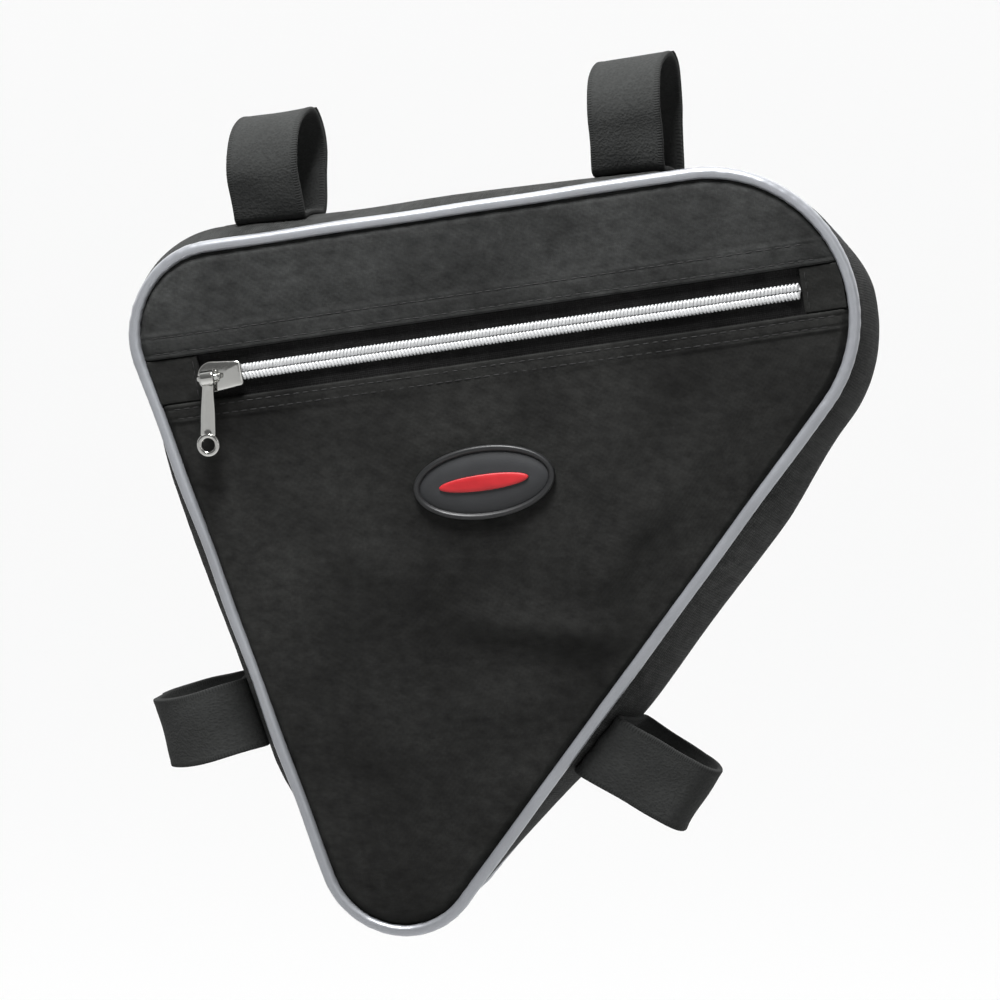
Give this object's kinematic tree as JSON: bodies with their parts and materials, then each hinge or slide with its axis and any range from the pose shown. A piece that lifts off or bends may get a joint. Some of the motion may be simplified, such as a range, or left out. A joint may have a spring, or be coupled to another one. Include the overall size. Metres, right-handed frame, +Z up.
{
  "type": "bicycle frame bag",
  "caption": "Wedge-shaped fabric frame bag with silver piping, a long zip with a hanging pull, an oval badge and strap loops for the top tube and seat tube.",
  "frame": {"origin": "on the axis of the bicycle's top tube, 2.6 mm behind the middle between the two top strap loops", "axes": "+Z up as the bag hangs on the bicycle, +X to the bicycle's front, and the panel with the zip faces -Y"},
  "size_m": [0.2581, 0.0669, 0.3042],
  "materials": {
    "upper_fabric": "dark grey woven polyester",
    "lower_fabric": "black woven polyester",
    "gusset_fabric": "coarse dark grey woven polyester",
    "piping": "silver grey coated piping",
    "zip_tape": "black woven tape",
    "zip_chain": "silver grey zip chain",
    "zip_metal": "bright nickel plate",
    "badge_rubber": "satin moulded rubber",
    "badge_bar": "satin red rubber",
    "strap_webbing": "dark grey hook-and-loop webbing"
  },
  "bodies": {
    "bag": {"front_panel_upper": "upper_fabric", "front_panel_lower": "lower_fabric", "back_panel": "lower_fabric", "gusset": "gusset_fabric", "front_piping": "piping", "back_piping": "piping", "zip_tape_upper": "zip_tape", "zip_tape_lower": "zip_tape", "zip_chain_upper": "zip_chain", "zip_chain_lower": "zip_chain", "zip_tab_rear": "lower_fabric", "zip_tab_front": "lower_fabric", "zip_slider": "zip_metal", "badge": "badge_rubber", "badge_bar": "badge_bar", "top_strap_rear": "strap_webbing", "top_strap_front": "strap_webbing", "seat_strap": "strap_webbing", "free_strap": "strap_webbing"},
    "pull": {"zip_pull": "zip_metal"}
  },
  "joints": [
    {"name": "pull_swing", "type": "hinge", "parent": "bag", "child": "pull", "pos_m": [-0.07649, -0.03454, -0.08188], "axis": [-0.9871, 0, -0.1599], "range_deg": [-5, 185]}
  ]
}
